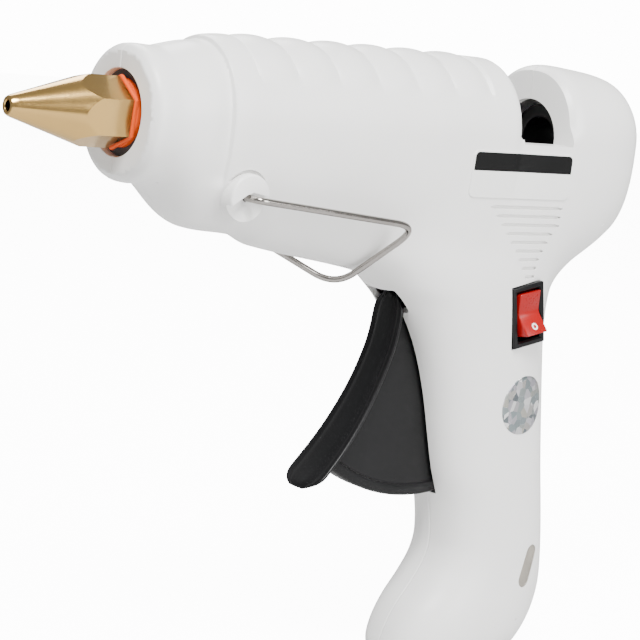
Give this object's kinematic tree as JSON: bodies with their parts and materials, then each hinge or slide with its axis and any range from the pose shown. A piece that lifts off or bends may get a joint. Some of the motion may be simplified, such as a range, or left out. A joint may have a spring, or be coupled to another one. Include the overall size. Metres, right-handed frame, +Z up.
{
  "type": "hot-melt glue gun",
  "caption": "Pistol-shaped hot-melt glue gun with a brass nozzle, ribbed barrel, open saddle, curved trigger, fold-out wire stand and rocker switch.",
  "frame": {"origin": "centre of the nozzle's mouth, where the melted glue comes out", "axes": "+X back along the glue stick, +Z up, -Y to the user's left, which is the switch side"},
  "size_m": [0.2, 0.044, 0.1729],
  "materials": {
    "casing_plastic": "satin moulded white plastic",
    "black_plastic": "satin black plastic",
    "red_plastic": "glossy translucent red plastic",
    "nozzle_brass": "turned and lightly polished",
    "silicone_orange": "matte silicone rubber",
    "steel_wire": "plated steel",
    "aluminium_cast": "cast, lightly oxidised",
    "heater_ceramic": "dull ceramic",
    "insulator_sheet": "dull mica board",
    "grey_plastic": "matte moulded plastic",
    "plate_print": "printed film, white with a black band",
    "sticker_foil": "patterned holographic foil",
    "clear_plastic": "frosted translucent plastic",
    "lead_insulation": "matte silicone insulation"
  },
  "bodies": {
    "body": {"casing_left": "casing_plastic", "casing_right": "casing_plastic", "casing_screws": "steel_wire", "nozzle": "nozzle_brass", "nozzle_collar": "silicone_orange", "valve_seat_ring": "nozzle_brass", "melt_chamber": "aluminium_cast", "front_support_ring": "black_plastic", "rear_support_ring": "black_plastic", "heater_element": "heater_ceramic", "heater_insulator": "insulator_sheet", "heater_clip": "aluminium_cast", "inlet_sleeve": "silicone_orange", "barrel_guide": "black_plastic", "hood_guide": "black_plastic", "trigger_pin": "steel_wire", "switch_frame": "black_plastic", "switch_rocker_pin": "steel_wire", "switch_terminals": "nozzle_brass", "rating_plate": "plate_print", "inspection_sticker": "sticker_foil", "indicator_window": "clear_plastic", "indicator_led": "red_plastic", "heater_leads": "lead_insulation", "cord_gland": "black_plastic", "cord_clamp": "casing_plastic", "cord_clamp_screws": "steel_wire"},
    "trigger": {"trigger": "black_plastic", "return_spring": "steel_wire"},
    "carriage": {"feed_carriage": "grey_plastic", "grip_lever_pin": "steel_wire"},
    "grip_lever": {"grip_lever": "steel_wire", "feed_pin": "steel_wire"},
    "wire_stand": {"wire_stand": "steel_wire"},
    "rocker": {"switch_rocker": "red_plastic"},
    "valve_ball": {"valve_ball": "steel_wire", "valve_spring": "steel_wire"}
  },
  "joints": [
    {"name": "trigger_squeeze", "type": "hinge", "parent": "body", "child": "trigger", "pos_m": [0.136, 0, -0.046], "axis": [0, -1, 0], "range_deg": [0, 24], "stiffness_Nm_per_rad": 1.2, "springref_deg": -6.88, "deforming": ["return_spring"]},
    {"name": "carriage_feed", "type": "slide", "parent": "body", "child": "carriage", "axis": [-1, 0, 0], "range_m": [0, 0.0099]},
    {"name": "lever_bite", "type": "hinge", "parent": "carriage", "child": "grip_lever", "pos_m": [0.14153, 0, -0.0114], "axis": [0, 1, 0], "range_deg": [0, 8]},
    {"name": "stand_fold", "type": "hinge", "parent": "body", "child": "wire_stand", "pos_m": [0.0575, 0, -0.0173], "axis": [0, 1, 0], "range_deg": [0, 75]},
    {"name": "rocker_tip", "type": "hinge", "parent": "body", "child": "rocker", "pos_m": [0.1584, -0.0146, -0.0474], "axis": [0.9816, 0, 0.1908], "range_deg": [0, 24]},
    {"name": "valve_lift", "type": "slide", "parent": "body", "child": "valve_ball", "axis": [-1, 0, 0], "range_m": [0, 0.0015], "stiffness_N_per_m": 300, "springref_m": -0.002, "deforming": ["valve_spring"]}
  ],
  "couplings": [
    {"joint": "carriage_feed", "follows": "trigger_squeeze", "m_per_rad": 0.0234},
    {"joint": "lever_bite", "follows": "trigger_squeeze", "ratio": 0.3333}
  ]
}
